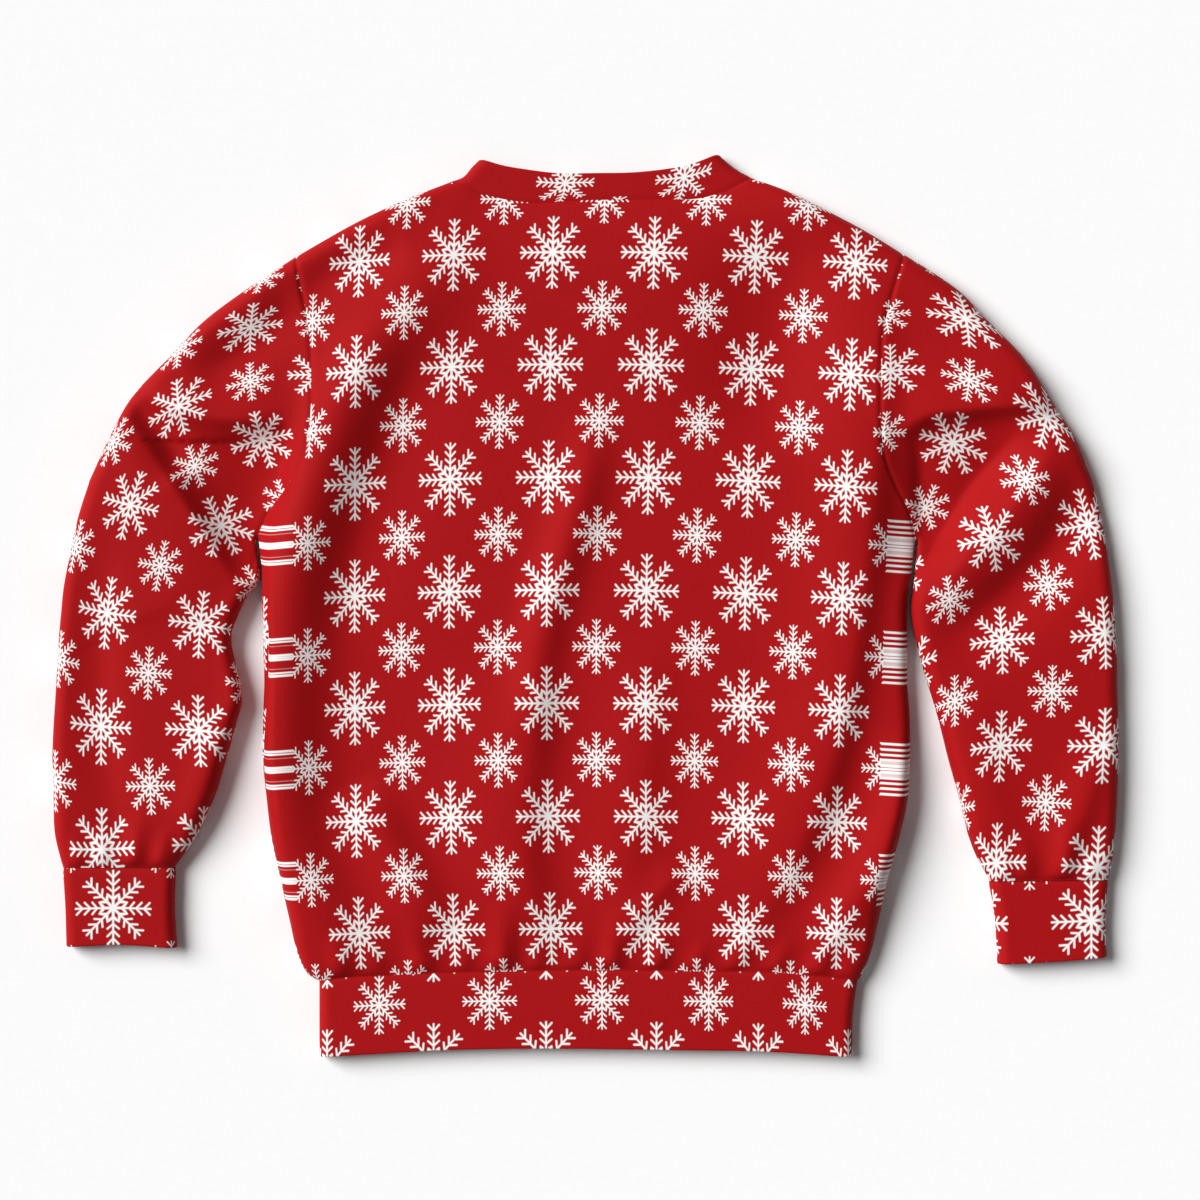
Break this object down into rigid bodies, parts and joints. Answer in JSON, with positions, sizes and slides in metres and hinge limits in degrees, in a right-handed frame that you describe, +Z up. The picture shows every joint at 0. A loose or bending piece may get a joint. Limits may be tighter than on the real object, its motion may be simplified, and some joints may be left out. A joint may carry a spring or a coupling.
{
  "type": "sweatshirt",
  "caption": "Long-sleeved crew-neck sweatshirt laid flat on its front, red with a white snowflake pattern, with ribbed neckband, cuffs and hem.",
  "frame": {"origin": "centre of the outline in plan, on the table that the garment lies on", "axes": "+X to the right of the picture, which is the wearer's right sleeve's side as the back faces up; +Y from the hem to the neck; +Z up off the table"},
  "size_m": [0.8551, 0.724, 0.0279],
  "materials": {
    "back": "smooth printed sweatshirt fleece",
    "front": "smooth printed sweatshirt fleece",
    "sleeve_left": "smooth printed sweatshirt fleece",
    "sleeve_right": "smooth printed sweatshirt fleece",
    "neckband": "smooth fine rib knit",
    "hem_band": "smooth fine rib knit",
    "cuff_left": "smooth fine rib knit",
    "cuff_right": "smooth fine rib knit"
  },
  "bodies": {
    "root": {"back": "back", "front": "front", "sleeve_left": "sleeve_left", "sleeve_right": "sleeve_right", "neckband": "neckband", "hem_band": "hem_band", "cuff_left": "cuff_left", "cuff_right": "cuff_right"}
  },
  "joints": []
}
